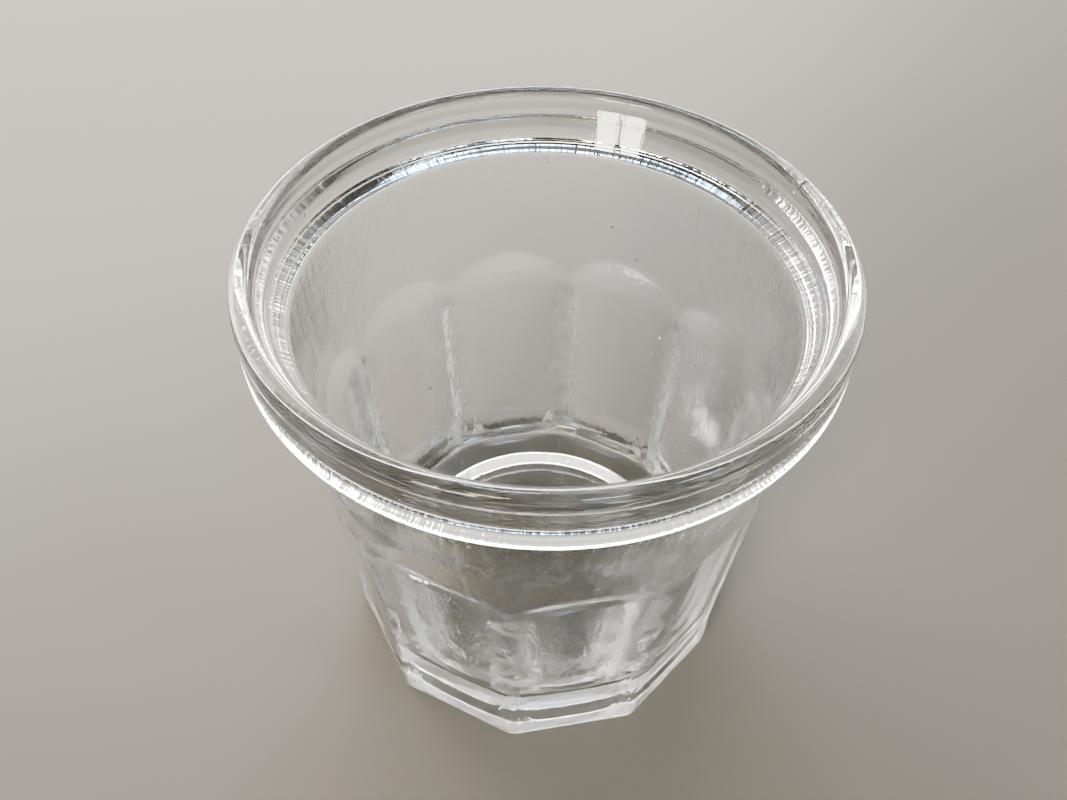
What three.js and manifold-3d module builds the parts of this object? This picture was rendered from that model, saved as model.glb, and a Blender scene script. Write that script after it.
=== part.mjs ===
// Pressed-glass jam jar, millimetres, +Z up, standing on z = 0 with its axis on the Z axis.
// One piece of glass: a round body with ten flat panels that end in arches, a double-bead
// collar with a flat underside, a flared mouth, a round cavity and a shallow recess under the foot.
import * as THREE from 'three';
import { mergeVertices } from 'three/addons/utils/BufferGeometryUtils.js';
import Module from 'manifold-3d';

// ---- driving dimensions (mm) ----
const HEIGHT = 93.4;          // foot to top of lip
const SEGMENTS = 80;          // facets round the axis
const PANELS = 10;            // flat panels, one centred on -Y

const BEAD_R = 50.0;          // both beads of the collar
const GROOVE_R = 49.4;        // bottom of the groove between the beads
const GROOVE_Z = 87.0;
const COLLAR_Z = 82.0;        // flat underside of the collar
const COLLAR_EDGE = 0.9;      // radius of the collar's lower corner
const COLLAR_FILLET = 0.7;    // radius where the underside meets the body

const BODY_FOOT_R = 39.35;    // round body at z = 0
const BODY_BAND_R = 39.7;     // round body at the top of the foot band
const BODY_SHOULDER_R = 43.55; // round body where its sides turn almost upright
const BODY_TOP_R = 43.9;      // round body at the collar's underside
const BAND_Z = 10;            // top of the foot band, where the sides start to lean out more
const SHOULDER_Z = 61;        // just above the arches
const SHOULDER_BLEND = 6;     // half length of the curve there
const FOOT_EDGE = 0.8;        // rounding of the foot's outer edge

const PANEL_FOOT_D = 37.6;    // panel's distance from the axis at z = 0
const PANEL_BAND_D = 37.94;   // its distance at the top of the foot band
const PANEL_SLOPE = 0.074;    // its lean outwards above that, mm per mm of height
const PANEL_TOP_Z = 53.6;     // where a panel turns outwards into its arch
const ARCH_SLOPE = 0.43;      // lean of the turned-out part
const ARCH_BLEND = 1.6;       // half length of the curve between the two
const CUT_TOP_Z = 66;         // height the panel cutters reach, clear of the glass

const LIP_EDGE_H = 2.4;       // height of the rounding outside the lip
const LIP_EDGE_W = 1.5;       // its width
const LIP_R = 46.5;           // inside of the lip
const LIP_Z = 91.6;           // where the lip's rounding starts inside
const SEAT_R = 42.0;          // inner wall where the flare starts
const SEAT_Z = 83.5;
const SEAT_BLEND = 1.0;       // half length of the curve there
const FLOOR_Z = 11.0;         // cavity floor at the axis
const FLOOR_EDGE_Z = 11.8;    // floor where the corner fillet starts
const FLOOR_EDGE_R = 28.0;
const CAVITY_R = 34.6;        // inner wall where the corner fillet ends
const CAVITY_Z = 18.4;

const RECESS_DEPTH = 2.5;     // under the foot
const RECESS_R = 26.0;        // flat part of the recess, where its sloping side starts
const BEARING_R = 30.8;       // inner edge of the ring it stands on

const wasm = await Module();
wasm.setup();

// Quadratic curve from a to c, pulled towards b, without its first point.
function bend(a, b, c, steps) {
  const out = [];
  for (let i = 1; i <= steps; i += 1) {
    const t = i / steps;
    const u = 1 - t;
    out.push([0, 1].map((k) => u * u * a[k] + 2 * u * t * b[k] + t * t * c[k]));
  }
  return out;
}

// Point at a share t of the way from a to b.
const between = (a, b, t) => [a[0] + (b[0] - a[0]) * t, a[1] + (b[1] - a[1]) * t];

// Point at a distance d from a towards b.
const along = (a, b, d) => between(a, b, d / Math.hypot(b[0] - a[0], b[1] - a[1]));

// Bulge from [r0, z0] to [r1, z1] that touches radius peak half way.
function bead(r0, z0, r1, z1, peak, steps) {
  const out = [];
  for (let i = 1; i <= steps; i += 1) {
    const t = i / steps;
    const lift = 4 * t * (1 - t);
    const flat = 1 - (1 - lift) * (1 - lift);
    const base = r0 + (r1 - r0) * t;
    out.push([base + (peak - base) * flat, z0 + (z1 - z0) * t]);
  }
  return out;
}

function footProfile() {
  return [
    [0, RECESS_DEPTH], [RECESS_R, RECESS_DEPTH], [BEARING_R, 0], [BODY_FOOT_R - FOOT_EDGE, 0],
    ...bend([BODY_FOOT_R - FOOT_EDGE, 0], [BODY_FOOT_R, 0], [BODY_FOOT_R, FOOT_EDGE], 3),
  ];
}

function collarProfile() {
  const corner = [BODY_TOP_R, COLLAR_Z];
  const band = [BODY_BAND_R, BAND_Z];
  const shoulder = [BODY_SHOULDER_R, SHOULDER_Z];
  const below = along(shoulder, band, SHOULDER_BLEND);
  const above = along(shoulder, corner, SHOULDER_BLEND);
  const start = along(corner, shoulder, COLLAR_FILLET);
  const out = [BODY_TOP_R + COLLAR_FILLET, COLLAR_Z];
  const edgeR = BEAD_R - 0.35;
  const edge = [edgeR, COLLAR_Z + COLLAR_EDGE];
  const lipFoot = [BEAD_R, HEIGHT - LIP_EDGE_H];
  const lipTop = [BEAD_R - LIP_EDGE_W, HEIGHT];
  return [
    band, below, ...bend(below, shoulder, above, 3),
    start, ...bend(start, corner, out, 2),
    [edgeR - COLLAR_EDGE, COLLAR_Z],
    ...bend([edgeR - COLLAR_EDGE, COLLAR_Z], [edgeR, COLLAR_Z], edge, 3),
    ...bead(edge[0], edge[1], GROOVE_R, GROOVE_Z, BEAD_R, 5),
    ...bead(GROOVE_R, GROOVE_Z, BEAD_R, HEIGHT - LIP_EDGE_H, BEAD_R, 3),
    ...bend(lipFoot, [BEAD_R, HEIGHT], lipTop, 4),
    ...bend(lipTop, [LIP_R, HEIGHT], [LIP_R, LIP_Z], 4),
  ];
}

function cavityProfile() {
  const lip = [LIP_R, LIP_Z];
  const seat = [SEAT_R, SEAT_Z];
  const wall = [CAVITY_R, CAVITY_Z];
  const above = along(seat, lip, SEAT_BLEND);
  const below = along(seat, wall, SEAT_BLEND);
  const floor = [FLOOR_EDGE_R, FLOOR_EDGE_Z];
  return [
    above, ...bend(above, seat, below, 3),
    wall, ...bend(wall, [CAVITY_R - 0.7, FLOOR_EDGE_Z], floor, 6),
    [FLOOR_EDGE_R * 0.55, FLOOR_Z + 0.15], [0, FLOOR_Z],
  ];
}

// Closed solid of revolution from a profile that starts and ends on the axis.
function lathe(profile) {
  const points = profile.map(([r, z]) => new THREE.Vector2(r, z));
  const geometry = new THREE.LatheGeometry(points, SEGMENTS);
  geometry.rotateX(Math.PI / 2);
  return toManifold(geometry);
}

function toManifold(geometry) {
  geometry.deleteAttribute('normal');
  geometry.deleteAttribute('uv');
  const merged = mergeVertices(geometry, 1e-4);
  return new wasm.Manifold(new wasm.Mesh({
    numProp: 3,
    vertProperties: new Float32Array(merged.attributes.position.array),
    triVerts: new Uint32Array(merged.index.array),
  }));
}

// What one panel takes off, for a panel that faces +X before it is turned.
function panelCutter() {
  const band = [PANEL_BAND_D, BAND_Z];
  const turn = [PANEL_BAND_D + PANEL_SLOPE * (PANEL_TOP_Z - BAND_Z), PANEL_TOP_Z];
  const top = [turn[0] + ARCH_SLOPE * (CUT_TOP_Z - PANEL_TOP_Z), CUT_TOP_Z];
  const below = along(turn, band, ARCH_BLEND);
  const above = along(turn, top, ARCH_BLEND);
  const edge = along([PANEL_FOOT_D, 0], band, FOOT_EDGE);
  const rounded = bend([PANEL_FOOT_D - FOOT_EDGE, 0], [PANEL_FOOT_D, 0], edge, 3);
  const outline = [
    [60, -1], [60, CUT_TOP_Z], top, above, ...bend(above, turn, below, 5), band,
    ...rounded.reverse(), [PANEL_FOOT_D - FOOT_EDGE, 0], [PANEL_FOOT_D - FOOT_EDGE, -1],
  ];
  const shape = new THREE.Shape(outline.map(([x, y]) => new THREE.Vector2(x, y)));
  const geometry = new THREE.ExtrudeGeometry(shape, { depth: 60, bevelEnabled: false });
  geometry.translate(0, 0, -30);
  geometry.rotateX(Math.PI / 2);
  return toManifold(geometry);
}

function glassBody() {
  let body = lathe([...footProfile(), ...collarProfile(), ...cavityProfile()]);
  const cutter = panelCutter();
  for (let i = 0; i < PANELS; i += 1) {
    body = body.subtract(cutter.rotate([0, 0, -90 + (360 / PANELS) * i]));
  }
  return body;
}

function toMesh(manifold, name, material) {
  const { vertProperties, triVerts, numProp } = manifold.getMesh();
  const positions = new Float32Array((vertProperties.length / numProp) * 3);
  for (let i = 0, j = 0; i < vertProperties.length; i += numProp, j += 3) {
    positions.set(vertProperties.subarray(i, i + 3), j);
  }
  const geometry = new THREE.BufferGeometry();
  geometry.setAttribute('position', new THREE.BufferAttribute(positions, 3));
  geometry.setIndex(new THREE.BufferAttribute(new Uint32Array(triVerts), 1));
  geometry.computeVertexNormals();
  const mesh = new THREE.Mesh(geometry, material);
  mesh.name = name;
  return mesh;
}

const glass = new THREE.MeshStandardMaterial({ color: 0xdfe6e6, roughness: 0.08, metalness: 0 });

const part = new THREE.Group();
part.name = 'jam_jar';
part.add(toMesh(glassBody(), 'glass_body', glass));

export default part;
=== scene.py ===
import math

import bpy
import numpy as np
from mathutils import Matrix, Vector

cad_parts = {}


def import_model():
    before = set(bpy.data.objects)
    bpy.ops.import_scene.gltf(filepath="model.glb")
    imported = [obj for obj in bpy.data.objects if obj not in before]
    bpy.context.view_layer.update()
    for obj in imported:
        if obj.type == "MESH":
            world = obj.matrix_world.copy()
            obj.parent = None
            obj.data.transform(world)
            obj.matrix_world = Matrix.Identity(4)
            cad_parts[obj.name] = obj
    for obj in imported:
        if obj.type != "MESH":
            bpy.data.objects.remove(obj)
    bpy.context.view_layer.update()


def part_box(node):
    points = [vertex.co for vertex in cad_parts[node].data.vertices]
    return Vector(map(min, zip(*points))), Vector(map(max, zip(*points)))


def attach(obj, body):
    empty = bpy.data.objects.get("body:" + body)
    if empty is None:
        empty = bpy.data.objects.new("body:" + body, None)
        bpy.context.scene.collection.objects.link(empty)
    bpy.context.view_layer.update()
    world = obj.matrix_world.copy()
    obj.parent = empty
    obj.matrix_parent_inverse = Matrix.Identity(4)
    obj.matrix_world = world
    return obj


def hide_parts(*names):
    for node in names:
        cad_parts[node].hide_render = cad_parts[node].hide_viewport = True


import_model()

# ---- the jar's shape, in millimetres; the rim and the height come from the CAD node ----
MM = 0.001
BOX_LOW, BOX_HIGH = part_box("glass_body")
HEIGHT = (BOX_HIGH.z - BOX_LOW.z) / MM
BEAD_R = (BOX_HIGH.x - BOX_LOW.x) / 2 / MM

PANELS = 10
STEPS_PER_PANEL = 42
GROOVE_R, GROOVE_Z = 49.4, 87.0
COLLAR_Z, COLLAR_EDGE, COLLAR_FILLET = 82.0, 0.9, 0.7
BODY_FOOT_R, BODY_BAND_R, BODY_SHOULDER_R, BODY_TOP_R = 39.35, 39.7, 43.55, 43.9
BAND_Z, SHOULDER_Z, SHOULDER_BLEND = 10.0, 61.0, 0.6
FOOT_EDGE = 0.8
PANEL_FOOT_D, PANEL_BAND_D, PANEL_SLOPE = 37.6, 37.94, 0.074
PANEL_TOP_Z, ARCH_SLOPE, ARCH_BLEND = 53.6, 0.43, 1.4
RIDGE_ROUND, FOOT_ROUND, ARCH_ROUND = 1.7, 0.4, 0.16
LIP_R, LIP_Z, LIP_EDGE_H, LIP_EDGE_W = 46.5, 91.6, 2.4, 1.5
SEAT_R, SEAT_Z, SEAT_BLEND = 42.0, 83.5, 1.0
FLOOR_Z, FLOOR_EDGE_Z, FLOOR_EDGE_R = 11.0, 11.8, 28.0
CAVITY_R, CAVITY_Z = 34.6, 18.4
RECESS_DEPTH, RECESS_R, BEARING_R = 2.5, 26.0, 30.8
RECESS_BLEND = 0.7
COLLAR_EDGE_INSET = 0.35  # how far the collar's lower edge stays inside the beads
BAND_BLEND = 0.1  # softness of the line at the top of the foot band
RIDGE_FULL_Z = 14  # height where the ridges reach their full rounding
FLOOR_PULL = 0.7  # how far the cavity's corner fillet leans in

RIPPLE, FINE_RIPPLE = 0.03, 0.008  # height of the slow and the fine press ripple in the walls
WALL_SPAN, CAVITY_SPAN = (1, 81), (19, 82)  # heights between which the two walls ripple
RIPPLE_TILT = 0.25  # most that a ripple's phase turns, in radians per millimetre of height
CROWDING = 0.45  # how much closer the angle steps are at the ridges

# ---- how wrinkled the glass is, from 0 where it is polished to 1 on a frosty ridge ----
POLISHED = 0.05
RING_WRINKLE, RECESS_WRINKLE, FOOT_WRINKLE = 0.1, 0.12, 0.15
FOOT_EDGE_GAIN = 0.3
PANEL_WRINKLE, BAND_GAIN = 0.22, 0.35
WALL_WRINKLE, WALL_TOP_GAIN = 0.3, 0.15
COLLAR_WRINKLE, CAVITY_GAIN = 0.4, 0.2
RING_WEAR = 0.5
RIDGE_REACH, RIDGE_FALL = 0.12, 0.7  # angle beside a ridge that is wrinkled, and its falloff
# heights from which and to which the wrinkles grow: on ridges, on the foot band, under the collar
RIDGE_FROST, BAND_FROST, WALL_TOP_FROST = (55, 47), (14, 4), (70, 80)
EDGE_DEPTH = 0.25  # depth at which a cut counts wholly as panel

# ---- features of the surface: how many per metre, and their depth in metres ----
PEELS, PEEL_DEPTH = 260, 1.6e-4
LUMPS, LUMP_DEPTH = 330, 7e-4
CHILLS, CHILL_DEPTH = 1400, 2.2e-4
TICKS, TICK_DEPTH = 1100, 9e-5
PITS, PIT_DEPTH = 520, 1.0e-4
SEEDS, SEED_DEPTH = 190, 1.2e-4
SCUFFS, HAZES = 1600, 500
HAZE = 0.24  # roughness of the most wrinkled glass
WORN, SCUFFED = 0.1, 0.12  # roughness of worn glass, and what a scuff adds
GLASS_COLOUR, GLASS_IOR = (0.985, 0.992, 0.99), 1.52


def smooth_min(a, b, k):
    h = np.maximum(k - np.abs(a - b), 0.0) / k
    return np.minimum(a, b) - h * h * k / 4


def smooth_max(a, b, k):
    return -smooth_min(-a, -b, k)


def ramp(value, start, end):
    """0 at start and before it, 1 at end and past it."""
    return np.clip((value - start) / (end - start), 0, 1)


def bend(a, b, c, steps):
    """Points of a quadratic curve from a to c pulled towards b, without a."""
    t = np.linspace(0, 1, steps + 1)[1:, None]
    a, b, c = (np.array(p, float) for p in (a, b, c))
    return [tuple(p) for p in (1 - t) ** 2 * a + 2 * t * (1 - t) * b + t * t * c]


def along(a, b, d):
    """The point at a distance d from a towards b."""
    a, b = np.array(a, float), np.array(b, float)
    return tuple(a + (b - a) * d / np.linalg.norm(b - a))


def line(a, b, steps):
    """Points from a to b, without a."""
    t = np.linspace(0, 1, steps + 1)[1:, None]
    a, b = np.array(a, float), np.array(b, float)
    return [tuple(p) for p in a + (b - a) * t]


def bulge(a, b, peak, steps):
    """A rounded bead from a to b that reaches the radius peak on the way."""
    t = np.linspace(0, 1, steps + 1)[1:]
    lift = 4 * t * (1 - t)
    base = a[0] + (b[0] - a[0]) * t
    return list(zip(base + (peak - base) * (1 - (1 - lift) ** 2), a[1] + (b[1] - a[1]) * t))


def angles():
    """Angles round the jar, closer together at the ridges between panels."""
    u = (np.arange(STEPS_PER_PANEL) + 0.5) / STEPS_PER_PANEL * 2 - 1
    offset = math.pi / PANELS * (u + CROWDING * np.sin(math.pi * u) / math.pi)
    centres = -math.pi / 2 + np.arange(PANELS) * 2 * math.pi / PANELS
    return (centres[:, None] + offset[None]).ravel(), np.tile(offset, PANELS)


THETA, OFFSET = angles()


def panel_radius(distance, rounding):
    """Radius of the ring of flat panels at this distance from the axis, with rounded ridges."""
    turn = 2 * math.pi / PANELS
    side = np.abs(OFFSET)
    return smooth_min(distance / np.cos(side), distance / np.cos(turn - side), rounding)


def body_radius(z):
    """Radius of the round body: the foot band, then a lean outwards, then almost upright."""
    if z < BAND_Z:
        return np.interp(z, (FOOT_EDGE, BAND_Z), (BODY_FOOT_R, BODY_BAND_R))
    lean = (BODY_SHOULDER_R - BODY_BAND_R) / (SHOULDER_Z - BAND_Z)
    upright = (BODY_TOP_R - BODY_SHOULDER_R) / (COLLAR_Z - SHOULDER_Z)
    lower = BODY_BAND_R + lean * (z - BAND_Z)
    return smooth_min(lower, BODY_TOP_R + upright * (z - COLLAR_Z), SHOULDER_BLEND)


def panel_distance(z):
    """A panel's distance from the axis: the foot band, the flat, and the turned-out arch."""
    band = PANEL_FOOT_D + (PANEL_BAND_D - PANEL_FOOT_D) * z / BAND_Z
    flat = smooth_max(band, PANEL_BAND_D + PANEL_SLOPE * (z - BAND_Z), BAND_BLEND)
    turn = PANEL_BAND_D + PANEL_SLOPE * (PANEL_TOP_Z - BAND_Z)
    blend = ARCH_BLEND * (ARCH_SLOPE - PANEL_SLOPE) * 2
    return smooth_max(flat, turn + ARCH_SLOPE * (z - PANEL_TOP_Z), blend)


def ridge_rounding(z):
    """The ridges are sharp at the foot and rounder higher up."""
    return FOOT_ROUND + (RIDGE_ROUND - FOOT_ROUND) * min(z / RIDGE_FULL_Z, 1)


def ripple(z, seed, waves, finest):
    """Unevenness of a pressed wall, the same height at every angle step round the jar."""
    r = np.random.default_rng(seed)
    total = np.zeros_like(THETA)
    for _ in range(waves):
        around, up = r.integers(2, finest), r.uniform(-RIPPLE_TILT, RIPPLE_TILT)
        total += r.uniform(0.3, 1) * np.cos(around * THETA + up * z + r.uniform(0, 2 * math.pi))
    return total / math.sqrt(waves)


def fade(z, low, high, width):
    """1 between the two heights, falling to 0 at them over this width."""
    return float(np.clip((z - low) / width, 0, 1) * np.clip((high - z) / width, 0, 1))


def row(r, z, wrinkle, wear=0.0):
    """One ring of points: radius, height, and how wrinkled and how worn the glass is there."""
    return [np.broadcast_to(v, THETA.shape).astype(float) for v in (r, z, wrinkle, wear)]


def foot_outline(inset):
    """Outline of the ten-sided foot, this far inside its widest."""
    flats = panel_radius(panel_distance(FOOT_EDGE) - inset, ridge_rounding(FOOT_EDGE))
    return smooth_min(np.full_like(THETA, BODY_FOOT_R - inset), flats, ARCH_ROUND)


def foot_rows():
    rows = [row(r, RECESS_DEPTH, POLISHED) for r in (4, 8, 12, 16, 20, 23)]
    inner, outer = (RECESS_R, RECESS_DEPTH), (BEARING_R, 0.0)
    before, after = (RECESS_R - RECESS_BLEND, RECESS_DEPTH), (BEARING_R + RECESS_BLEND, 0.0)
    start, end = along(inner, outer, RECESS_BLEND), along(outer, inner, RECESS_BLEND)
    edge = [before] + bend(before, inner, start, 4) + line(start, end, 5)
    rows += [row(r, z, RECESS_WRINKLE) for r, z in edge]
    ring = bend(end, outer, after, 4) + [(33.0, 0.0), (35.0, 0.0)]
    rows += [row(r, z, RING_WRINKLE, RING_WEAR) for r, z in ring]
    for a in np.linspace(0, math.pi / 2, 7):
        inset, z = FOOT_EDGE * (1 - math.sin(a)), FOOT_EDGE * (1 - math.cos(a))
        wrinkle = FOOT_WRINKLE + FOOT_EDGE_GAIN * math.sin(a)
        wear = RING_WEAR - RING_WEAR * math.sin(a)
        rows.append(row(foot_outline(inset), z, wrinkle, wear))
    return rows


def wall_heights():
    """Heights of the outer wall's rings, closer together across the arches."""
    arch_low, arch_high, top = 50, 61, COLLAR_Z - COLLAR_FILLET
    return np.concatenate([
        np.linspace(FOOT_EDGE, BAND_Z, 8)[1:],
        np.linspace(BAND_Z, arch_low, 22)[1:],
        np.linspace(arch_low, arch_high, 43)[1:],
        np.linspace(arch_high, top, 14)[1:],
    ])


def press_ripple(z, slow_seed, fine_seed):
    return RIPPLE * ripple(z, slow_seed, 14, 22) + FINE_RIPPLE * ripple(z, fine_seed, 30, 66)


def wall_rows():
    rows = []
    to_ridge = math.pi / PANELS - np.abs(OFFSET)
    ridge = np.clip(1 - to_ridge / RIDGE_REACH, 0, 1) ** RIDGE_FALL
    for z in wall_heights():
        body, flats = body_radius(z), panel_radius(panel_distance(z), ridge_rounding(z))
        r = smooth_min(np.full_like(THETA, body), flats, ARCH_ROUND)
        near_ridge = ridge * ramp(z, *RIDGE_FROST)
        on_panel = ramp(body - flats, 0, EDGE_DEPTH)
        low = BAND_GAIN * ramp(z, *BAND_FROST)
        panel = PANEL_WRINKLE + (1 - PANEL_WRINKLE) * near_ridge + low
        high = WALL_WRINKLE + WALL_TOP_GAIN * ramp(z, *WALL_TOP_FROST)
        round_wall = np.maximum(high, near_ridge)
        wrinkle = np.clip(on_panel * panel + (1 - on_panel) * round_wall, 0, 1)
        push = press_ripple(z, 3, 4) * fade(z, *WALL_SPAN, 6)
        rows.append(row(r + push, z, wrinkle))
    return rows


def collar_points():
    corner = (BODY_TOP_R, COLLAR_Z)
    start = along(corner, (BODY_SHOULDER_R, SHOULDER_Z), COLLAR_FILLET)
    out = (BODY_TOP_R + COLLAR_FILLET, COLLAR_Z)
    edge_r = BEAD_R - COLLAR_EDGE_INSET
    inner, edge = (edge_r - COLLAR_EDGE, COLLAR_Z), (edge_r, COLLAR_Z + COLLAR_EDGE)
    groove = (GROOVE_R, GROOVE_Z)
    upper = (BEAD_R, HEIGHT - LIP_EDGE_H)
    top = (BEAD_R - LIP_EDGE_W, HEIGHT)
    points = bend(start, corner, out, 4) + line(out, inner, 4)
    points += bend(inner, (edge_r, COLLAR_Z), edge, 5)
    points += bulge(edge, groove, BEAD_R, 14) + bulge(groove, upper, BEAD_R, 9)
    points += bend(upper, (BEAD_R, HEIGHT), top, 8)
    points += bend(top, (LIP_R, HEIGHT), (LIP_R, LIP_Z), 8)
    return points


def cavity_points():
    lip, seat, wall = (LIP_R, LIP_Z), (SEAT_R, SEAT_Z), (CAVITY_R, CAVITY_Z)
    above, below = along(seat, lip, SEAT_BLEND), along(seat, wall, SEAT_BLEND)
    floor = (FLOOR_EDGE_R, FLOOR_EDGE_Z)
    points = line(lip, above, 6) + bend(above, seat, below, 6) + line(below, wall, 34)
    points += bend(wall, (CAVITY_R - FLOOR_PULL, FLOOR_EDGE_Z), floor, 12)
    points += [(24, 11.55), (19, 11.3), (14, 11.13), (9, 11.04), (4, FLOOR_Z)]
    return points


def collar_rows():
    """The collar and the lip, wrinkled under the collar and polished above."""
    top = COLLAR_Z + COLLAR_EDGE
    return [row(r, z, COLLAR_WRINKLE if z < top else POLISHED) for r, z in collar_points()]


def cavity_rows():
    rows = []
    for r, z in cavity_points():
        push = press_ripple(z, 5, 6) * fade(z, *CAVITY_SPAN, 8)
        wrinkle = POLISHED + CAVITY_GAIN * fade(z, *CAVITY_SPAN, 6)
        rows.append(row(r + push, z, wrinkle))
    return rows


def jar_mesh():
    """One closed skin: the rings from the recess round the outside to the cavity's floor."""
    rows = foot_rows() + wall_rows() + collar_rows() + cavity_rows()
    count, n = len(rows), len(THETA)
    r, z, wrinkle, wear = np.array(rows).transpose(1, 0, 2)
    ring = np.stack([r * np.cos(THETA), r * np.sin(THETA), z], -1).reshape(-1, 3)
    poles = np.array([[0, 0, RECESS_DEPTH], [0, 0, FLOOR_Z]])
    verts = np.concatenate([ring, poles]) * MM
    i = np.arange(n)
    j = (i + 1) % n
    faces = []
    for k in range(count - 1):
        a, b = k * n, (k + 1) * n
        faces += np.stack([a + i, a + j, b + j, b + i], -1).tolist()
    last = (count - 1) * n
    faces += [[count * n, int(q), int(p)] for p, q in zip(i, j)]
    faces += [[last + int(p), last + int(q), count * n + 1] for p, q in zip(i, j)]
    mesh = bpy.data.meshes.new("glass_jar")
    mesh.from_pydata(verts.tolist(), [], faces)
    for name, values, pole in (("wrinkle", wrinkle, POLISHED), ("wear", wear, 0.0)):
        layer = mesh.attributes.new(name, "FLOAT", "POINT")
        layer.data.foreach_set("value", np.append(values.ravel(), [pole, pole]))
    mesh.shade_smooth()
    return mesh


# ---- material ----
class Nodes:
    """Short calls for building one material's node tree."""

    def __init__(self, tree):
        self.tree = tree

    def make(self, kind, settings=None, **inputs):
        made = self.tree.nodes.new(kind)
        for name, value in (settings or {}).items():
            setattr(made, name, value)
        for name, value in inputs.items():
            self.feed(made.inputs[name.replace("_", " ")], value)
        return made

    def feed(self, socket, value):
        if isinstance(value, bpy.types.NodeSocket):
            self.tree.links.new(value, socket)
        else:
            socket.default_value = value

    def math(self, operation, *values):
        made = self.tree.nodes.new("ShaderNodeMath")
        made.operation = operation
        for socket, value in zip(made.inputs, values):
            self.feed(socket, value)
        return made.outputs[0]

    def step(self, value, low, high):
        """0 at low and 1 at high, smoothly."""
        kind = {"interpolation_type": "SMOOTHSTEP"}
        made = self.make("ShaderNodeMapRange", kind, Value=value, From_Min=low, From_Max=high)
        return made.outputs[0]

    def vector(self, operation, *values):
        made = self.tree.nodes.new("ShaderNodeVectorMath")
        made.operation = operation
        for socket, value in zip(made.inputs, values):
            self.feed(socket, value)
        return made.outputs[0]

    def wrapped(self, place, radius, squash):
        """The place moved straight out or in to this radius, with heights squashed."""
        around = self.vector("NORMALIZE", self.vector("MULTIPLY", place, (1, 1, 0)))
        height = self.vector("MULTIPLY", place, (0, 0, squash))
        return self.vector("MULTIPLY_ADD", around, (radius, radius, 0), height)

    def noise(self, place, scale, detail=2.0, distortion=0.0):
        made = self.make(
            "ShaderNodeTexNoise", Vector=place, Scale=scale, Detail=detail, Distortion=distortion
        )
        return made.outputs["Fac"]

    def swell(self, place, scale, detail=2.0, distortion=0.0):
        """Noise that goes as far below zero as above it."""
        return self.math("SUBTRACT", self.noise(place, scale, detail, distortion), 0.5)

    def spots(self, place, scale, radius, share):
        """Soft round spots of 1 on 0, in that share of the cells."""
        cells = self.make("ShaderNodeTexVoronoi", Vector=place, Scale=scale)
        draw = self.make("ShaderNodeSeparateColor", Color=cells.outputs["Color"]).outputs[0]
        spot = self.step(cells.outputs["Distance"], radius, radius * 0.3)
        return self.math("MULTIPLY", spot, self.math("LESS_THAN", draw, share))

    def bump(self, height, depth, below=None):
        """This height laid over the bump below."""
        made = self.make("ShaderNodeBump", Height=height, Distance=depth, Strength=1.0)
        if below is not None:
            self.tree.links.new(below, made.inputs["Normal"])
        return made.outputs[0]


def glass_material():
    material = bpy.data.materials.new("pressed_glass")
    material.use_nodes = True
    n = Nodes(material.node_tree)
    shader = material.node_tree.nodes["Principled BSDF"]
    shader.inputs["Transmission Weight"].default_value = 1.0
    shader.inputs["IOR"].default_value = GLASS_IOR
    shader.inputs["Base Color"].default_value = (*GLASS_COLOUR, 1)

    place = n.make("ShaderNodeTexCoord").outputs["Object"]
    wrinkle = n.make("ShaderNodeAttribute", {"attribute_name": "wrinkle"}).outputs["Fac"]
    wear = n.make("ShaderNodeAttribute", {"attribute_name": "wear"}).outputs["Fac"]
    around = BODY_TOP_R * MM
    half, tall, taller = (n.wrapped(place, around, squash) for squash in (0.55, 0.3, 0.12))

    # soft orange peel, then lumps and chill wrinkles that run up the glass
    peel = n.math("MULTIPLY", n.swell(tall, PEELS), n.step(wrinkle, 0.0, 0.4))
    peeled = n.bump(peel, PEEL_DEPTH)
    lumps = n.math("MULTIPLY", n.noise(half, LUMPS, 1.0, 0.4), n.step(wrinkle, 0.5, 1.0))
    lumped = n.bump(lumps, LUMP_DEPTH, peeled)
    chill = n.math("MULTIPLY", n.swell(tall, CHILLS, 2.0, 0.6), wrinkle)
    chilled = n.bump(chill, CHILL_DEPTH, lumped)

    # tick marks and pits in the wrinkled parts, seeds everywhere
    ticks = n.math("MULTIPLY", n.spots(taller, TICKS, 0.17, 0.1), n.step(wrinkle, 0.3, 0.42))
    ticked = n.bump(ticks, TICK_DEPTH, chilled)
    pits = n.math("MULTIPLY", n.spots(place, PITS, 0.2, 0.06), n.step(wrinkle, 0.2, 0.5))
    pitted = n.bump(pits, PIT_DEPTH, ticked)
    seeded = n.bump(n.spots(place, SEEDS, 0.11, 0.2), SEED_DEPTH, pitted)
    n.feed(shader.inputs["Normal"], seeded)

    # worn grey on the ring it stands on, and a trace of haze in the wrinkles
    scuffs = n.step(n.noise(place, SCUFFS, 4.0), 0.35, 0.7)
    worn = n.math("MULTIPLY", wear, n.math("MULTIPLY_ADD", scuffs, SCUFFED, WORN))
    mist = n.math("MULTIPLY", n.noise(place, HAZES), HAZE)
    haze = n.math("MULTIPLY", n.step(wrinkle, 0.6, 1.0), mist)
    n.feed(shader.inputs["Roughness"], n.math("ADD", worn, haze))
    return material


# ---- build ----
jar = bpy.data.objects.new("glass_jar", jar_mesh())
bpy.context.scene.collection.objects.link(jar)
jar.data.materials.append(glass_material())
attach(jar, "root")
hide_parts("glass_body")


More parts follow.
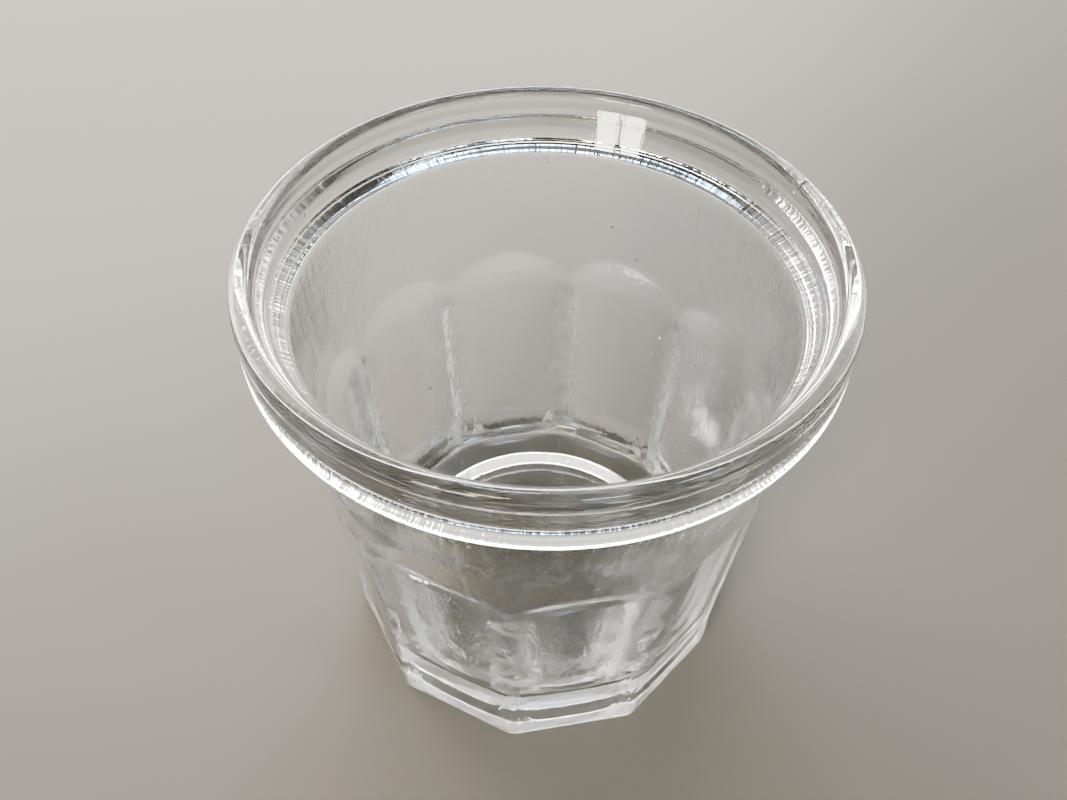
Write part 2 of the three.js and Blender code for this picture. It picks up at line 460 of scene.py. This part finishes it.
# ---- stage, in metres and watts ----
LOOK, BOUNCES = "AgX - High Contrast", 24
BACK_GLOW, ROOM_GLOW, GLOW_COLOUR = 1.3, 0.07, (1.0, 0.965, 0.9)
STAGE_R, STAGE_SIDES = 1.7, 128
STAGE_GAP = 0.00015  # keeps the floor from touching the ring that the jar stands on
STAGE_COLOUR, STAGE_ROUGHNESS = (0.31, 0.29, 0.26), 0.5
MID_JAR = (0, 0, 0.08)
DAYLIGHT, AMBER = (1.0, 0.95, 0.84), (1.0, 0.78, 0.42)

# name, place, target, width and height, power, colour
LIGHTS = (
    ("sweep", (-0.05, 0.5, 0.32), (0, 0.3, 0), (0.9, 0.15), 4.2, (1.0, 0.98, 0.95)),
    ("pane_left", (-0.82, -0.78, 0.64), MID_JAR, (0.17, 0.22), 3.2, DAYLIGHT),
    ("pane_right", (-0.67, -0.93, 0.64), MID_JAR, (0.17, 0.22), 3.2, DAYLIGHT),
    ("lamp", (-0.29, -0.49, 0.72), MID_JAR, (0.13, 0.11), 1.5, AMBER),
    ("cool_front", (0.12, -0.56, 0.72), MID_JAR, (0.16, 0.1), 1.0, (0.5, 0.74, 1.0)),
    ("cool_side", (0.45, -0.38, 0.75), MID_JAR, (0.1, 0.24), 0.8, (0.6, 0.8, 1.0)),
    ("sky", (0.06, 0.45, 0.7), (0, 0, 0.02), (0.07, 0.05), 0.25, (0.45, 0.7, 1.0)),
)

# the camera's place and angles, before the azimuth turns it round the jar
LENS, CLIP_START = 33.6, 0.01
CAMERA_PLACE = (0.0, -0.124, 0.1943)
AZIMUTH, ELEVATION, YAW, ROLL = (math.radians(a) for a in (-11.53, 47.8, 0.83, 1.0))


def plain_material(name, colour, roughness):
    material = bpy.data.materials.new(name)
    material.use_nodes = True
    shader = material.node_tree.nodes["Principled BSDF"]
    shader.inputs["Base Color"].default_value = (*colour, 1)
    shader.inputs["Roughness"].default_value = roughness
    return material


def floor():
    """A wide pale disc."""
    mesh = bpy.data.meshes.new("floor")
    around = np.linspace(0, 2 * math.pi, STAGE_SIDES, endpoint=False)
    edge = [(STAGE_R * math.cos(a), STAGE_R * math.sin(a), -STAGE_GAP) for a in around]
    mesh.from_pydata(edge, [], [range(STAGE_SIDES)])
    mesh.materials.append(plain_material("floor", STAGE_COLOUR, STAGE_ROUGHNESS))
    made = bpy.data.objects.new("floor", mesh)
    bpy.context.scene.collection.objects.link(made)


def area(name, place, target, size, power, colour):
    """A soft rectangular light that faces its target."""
    data = bpy.data.lights.new(name, "AREA")
    data.shape, data.size, data.size_y = "RECTANGLE", size[0], size[1]
    data.energy, data.color = power, colour
    made = bpy.data.objects.new(name, data)
    made.location = place
    made.rotation_euler = (Vector(target) - Vector(place)).to_track_quat("-Z", "Y").to_euler()
    bpy.context.scene.collection.objects.link(made)


def world():
    """Dim studio with one wide soft glow low down behind the jar."""
    made = bpy.data.worlds.new("studio")
    made.use_nodes = True
    n = Nodes(made.node_tree)
    way = n.make("ShaderNodeSeparateXYZ", Vector=n.make("ShaderNodeTexCoord").outputs["Generated"])
    back, low_down = n.step(way.outputs["Y"], -0.1, 0.85), n.step(way.outputs["Z"], 0.95, 0.3)
    behind = n.math("MULTIPLY", back, low_down)
    background = made.node_tree.nodes["Background"]
    background.inputs["Color"].default_value = (*GLOW_COLOUR, 1)
    n.feed(background.inputs["Strength"], n.math("MULTIPLY_ADD", behind, BACK_GLOW, ROOM_GLOW))
    bpy.context.scene.world = made


def camera():
    data = bpy.data.cameras.new("camera")
    data.lens = LENS
    data.clip_start = CLIP_START
    made = bpy.data.objects.new("camera", data)
    made.matrix_world = (
        Matrix.Rotation(AZIMUTH, 4, "Z")
        @ Matrix.Translation(CAMERA_PLACE)
        @ Matrix.Rotation(YAW, 4, "Z")
        @ Matrix.Rotation(math.pi / 2 - ELEVATION, 4, "X")
        @ Matrix.Rotation(ROLL, 4, "Z")
    )
    bpy.context.scene.collection.objects.link(made)
    bpy.context.scene.camera = made


def more_bounces():
    """Light crosses many faces of the glass, and too few bounces would leave black patches."""
    cycles = bpy.context.scene.cycles
    cycles.max_bounces = BOUNCES
    cycles.transmission_bounces = BOUNCES
    cycles.glossy_bounces = BOUNCES


bpy.context.scene.view_settings.look = LOOK
floor()
for light in LIGHTS:
    area(*light)
world()
more_bounces()
camera()
